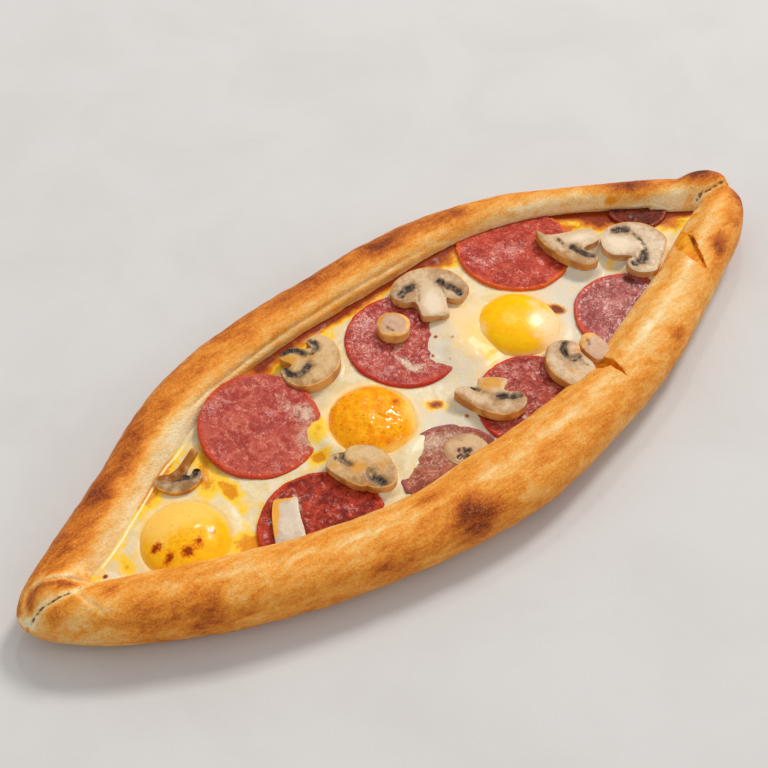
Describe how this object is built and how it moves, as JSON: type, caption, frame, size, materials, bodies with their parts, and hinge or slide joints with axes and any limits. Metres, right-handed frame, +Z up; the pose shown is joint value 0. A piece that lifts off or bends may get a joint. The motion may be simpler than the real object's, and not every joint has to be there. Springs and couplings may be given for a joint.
{
  "type": "pide",
  "caption": "Boat-shaped baked flatbread with rolled edges round a cheese and egg filling topped with sausage slices, mushroom pieces and egg yolks.",
  "frame": {"origin": "middle of the boat's plan box, on the flat underside", "axes": "+X along the boat towards the tip with the cut across its rim, +Y across the boat to the narrower rim, +Z up"},
  "size_m": [0.3416, 0.138, 0.0254],
  "materials": {
    "crust": "dry baked dough, golden with brown blotches",
    "filling": "melted cheese and set egg white, moist",
    "yolk": "baked egg yolk, glossy",
    "sausage": "cured sausage, oily and mottled",
    "mushroom": "cooked mushroom flesh with browned skin"
  },
  "bodies": {
    "root": {"crust": "crust", "filling": "filling", "egg_yolk_1": "yolk", "egg_yolk_2": "yolk", "egg_yolk_3": "yolk", "sausage_slice_1": "sausage", "sausage_slice_2": "sausage", "sausage_slice_3": "sausage", "sausage_slice_4": "sausage", "sausage_slice_5": "sausage", "sausage_slice_6": "sausage", "sausage_slice_7": "sausage", "sausage_slice_8": "sausage", "mushroom_piece_1": "mushroom", "mushroom_piece_2": "mushroom", "mushroom_piece_3": "mushroom", "mushroom_piece_4": "mushroom", "mushroom_piece_5": "mushroom", "mushroom_piece_6": "mushroom", "mushroom_piece_7": "mushroom", "mushroom_piece_8": "mushroom", "mushroom_piece_9": "mushroom", "mushroom_piece_10": "mushroom", "mushroom_piece_11": "mushroom", "mushroom_piece_12": "mushroom"}
  },
  "joints": []
}
